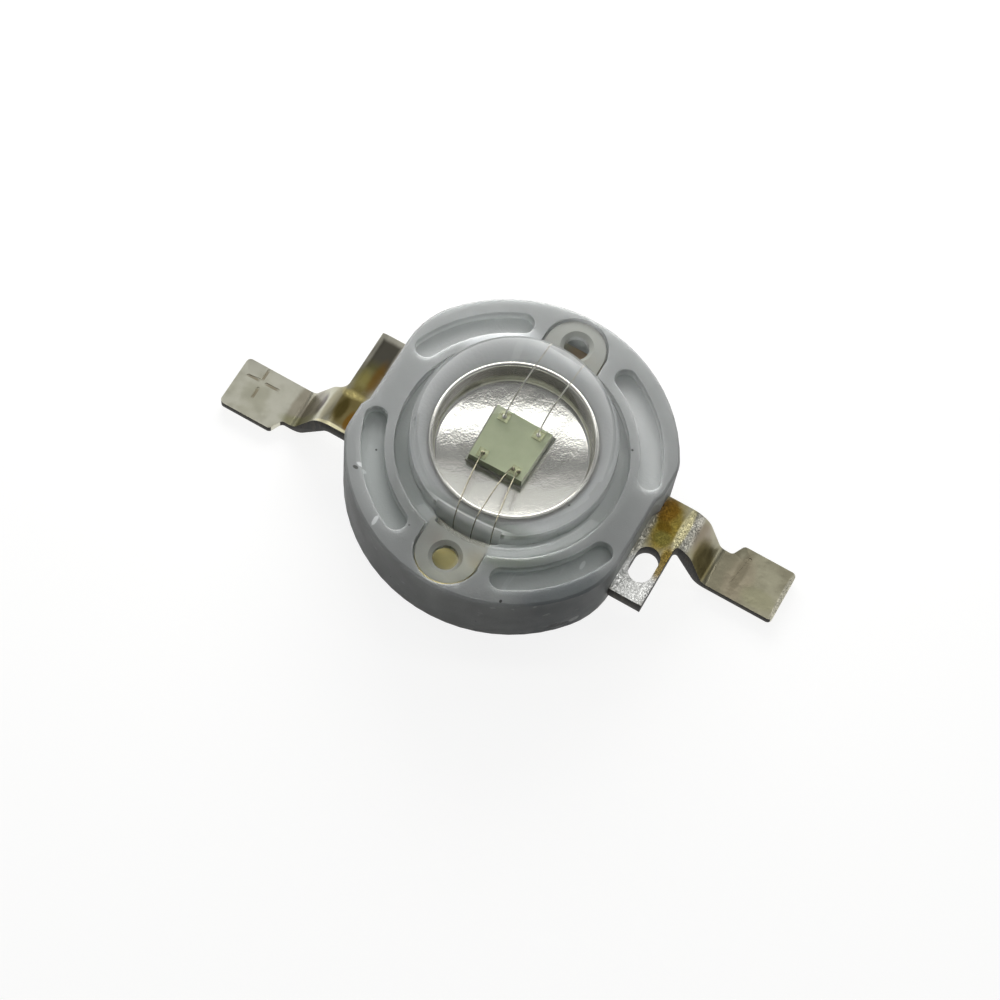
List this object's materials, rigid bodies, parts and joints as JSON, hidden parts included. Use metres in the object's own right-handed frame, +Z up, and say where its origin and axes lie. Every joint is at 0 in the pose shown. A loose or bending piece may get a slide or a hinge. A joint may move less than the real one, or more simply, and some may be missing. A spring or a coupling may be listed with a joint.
{
  "type": "high power led",
  "caption": "Surface-mount power LED: round moulded body, clear dome lens over a reflector cup, copper heat slug underneath, formed solder leads to each side.",
  "frame": {"origin": "centre of the heat slug's flat underside, which is the plane of the board", "axes": "+X along the leads towards the cathode, +Z up through the dome, +Y completes the frame"},
  "size_m": [0.0144, 0.008, 0.0056],
  "materials": {
    "moulded_body": "moulded heat-resistant polyamide, slightly translucent, satin",
    "plated_slug": "turned copper with bright silver plating",
    "plated_lead": "stamped copper with silver plating, tarnished gold and brown near the body",
    "clear_lens": "clear moulded lens, glossy",
    "clear_gel": "clear soft silicone gel",
    "die": "pale yellow-green sapphire die, satin",
    "solder": "dull grey solder",
    "gold": "gold wire and contacts"
  },
  "bodies": {
    "root": {"housing": "moulded_body", "heat_slug": "plated_slug", "anode_lead": "plated_lead", "cathode_lead": "plated_lead", "lens": "clear_lens", "silicone_gel": "clear_gel", "led_chip": "die", "die_attach": "solder", "chip_bond_pads": "gold", "anode_bond_wires": "gold", "cathode_bond_wires": "gold"}
  },
  "joints": []
}
